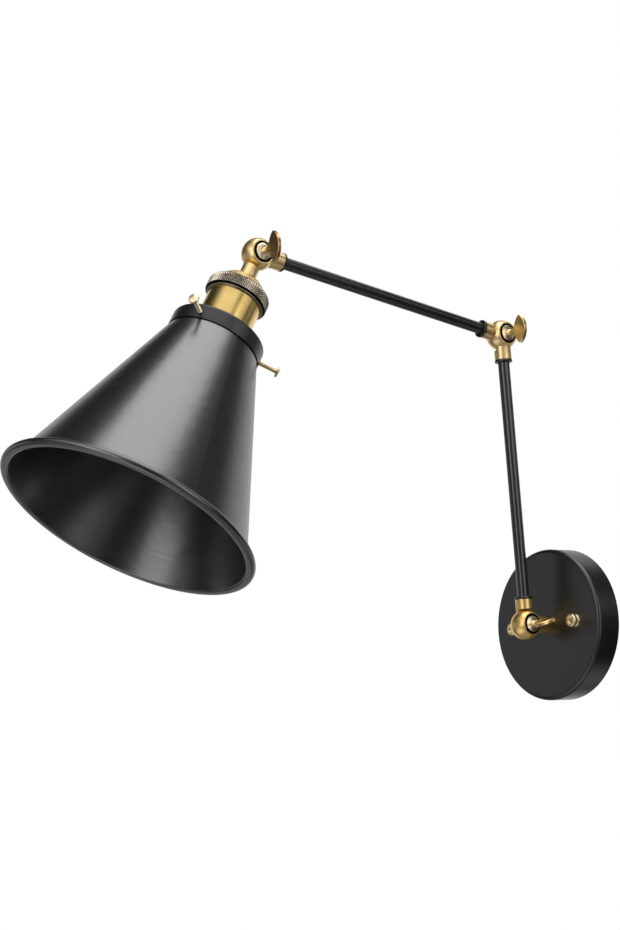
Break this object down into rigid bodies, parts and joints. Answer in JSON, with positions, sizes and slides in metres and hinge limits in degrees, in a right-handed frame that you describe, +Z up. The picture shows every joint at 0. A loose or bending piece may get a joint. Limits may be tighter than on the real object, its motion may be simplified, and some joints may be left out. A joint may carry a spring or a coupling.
{
  "type": "swing arm wall lamp",
  "caption": "Wall lamp with a round canopy, jointed tube arms on clamped ball knuckles with wing screws, and a cone shade on a screw-base socket.",
  "frame": {"origin": "centre of the canopy's back face, on the wall", "axes": "+Z up, the lamp reaches out of the wall along -Y, +X to the right as seen facing the wall"},
  "size_m": [0.1884, 0.476, 0.3422],
  "materials": {
    "black_coat": "satin",
    "satin_brass": "brushed",
    "aged_brass": "knurled, antique",
    "zinc_steel": "zinc plated",
    "ground_green": "plain",
    "wire_insulation": "matte",
    "holder_insulator": "matte"
  },
  "bodies": {
    "wall_plate": {"canopy": "black_coat", "crossbar": "zinc_steel", "canopy_studs": "zinc_steel", "canopy_nuts": "satin_brass", "ground_screw": "ground_green"},
    "wall_knuckle": {"wall_knuckle_front": "satin_brass", "wall_pipe": "satin_brass", "wall_washer": "zinc_steel", "wall_nut": "satin_brass"},
    "lower_arm": {"wall_knuckle_rear": "satin_brass", "lower_arm_tube": "black_coat", "lower_arm_rings": "black_coat", "lower_arm_wires": "wire_insulation", "elbow_knuckle_front": "satin_brass"},
    "upper_arm": {"elbow_knuckle_rear": "satin_brass", "upper_arm_tube": "black_coat", "upper_arm_rings": "black_coat", "upper_arm_wires": "wire_insulation", "head_knuckle_front": "satin_brass"},
    "lamp_head": {"head_knuckle_rear": "satin_brass", "socket_pipe": "satin_brass", "socket_nut": "satin_brass", "socket_cap": "aged_brass", "socket_shell": "satin_brass", "lamp_holder": "holder_insulator", "screw_shell": "satin_brass", "centre_contact": "satin_brass", "terminal_screws": "satin_brass", "socket_wires": "wire_insulation", "shade_fitter": "black_coat", "shade_ring": "satin_brass", "shade": "black_coat"},
    "wall_wing": {"wall_wing_screw": "satin_brass"},
    "elbow_wing": {"elbow_wing_screw": "satin_brass"},
    "head_wing": {"head_wing_screw": "satin_brass"},
    "thumb_1": {"thumb_screw_1": "satin_brass"},
    "thumb_2": {"thumb_screw_2": "satin_brass"},
    "thumb_3": {"thumb_screw_3": "satin_brass"}
  },
  "joints": [
    {"name": "wall_swivel", "type": "hinge", "parent": "wall_plate", "child": "wall_knuckle", "pos_m": [0, -0.0213, 0], "axis": [0, 1, 0], "range_deg": [-90, 90]},
    {"name": "wall_tilt", "type": "hinge", "parent": "wall_knuckle", "child": "lower_arm", "pos_m": [0, -0.0424, 0], "axis": [-1, 0, 0], "range_deg": [-178.7, 1.3]},
    {"name": "elbow_tilt", "type": "hinge", "parent": "lower_arm", "child": "upper_arm", "pos_m": [0, -0.04766, 0.23194], "axis": [-1, 0, 0], "range_deg": [-10.8, 169.2]},
    {"name": "head_tilt", "type": "hinge", "parent": "upper_arm", "child": "lamp_head", "pos_m": [0, -0.27648, 0.27023], "axis": [-1, 0, 0], "range_deg": [-21.2, 158.8]},
    {"name": "wall_wing_turn", "type": "hinge", "parent": "wall_knuckle", "child": "wall_wing", "pos_m": [0, -0.0424, 0], "axis": [1, 0, 0], "continuous": true},
    {"name": "elbow_wing_turn", "type": "hinge", "parent": "lower_arm", "child": "elbow_wing", "pos_m": [0, -0.04766, 0.23194], "axis": [1, 0, 0], "continuous": true},
    {"name": "head_wing_turn", "type": "hinge", "parent": "upper_arm", "child": "head_wing", "pos_m": [0, -0.27648, 0.27023], "axis": [1, 0, 0], "continuous": true},
    {"name": "thumb_1_turn", "type": "hinge", "parent": "lamp_head", "child": "thumb_1", "pos_m": [0.02407, -0.34454, 0.21818], "axis": [0.6018, -0.6867, 0.4077], "continuous": true},
    {"name": "thumb_2_turn", "type": "hinge", "parent": "lamp_head", "child": "thumb_2", "pos_m": [-0.0397, -0.32126, 0.20436], "axis": [-0.9925, -0.1048, 0.0622], "continuous": true},
    {"name": "thumb_3_turn", "type": "hinge", "parent": "lamp_head", "child": "thumb_3", "pos_m": [0.01563, -0.28541, 0.18307], "axis": [0.3907, 0.7915, -0.47], "continuous": true}
  ]
}
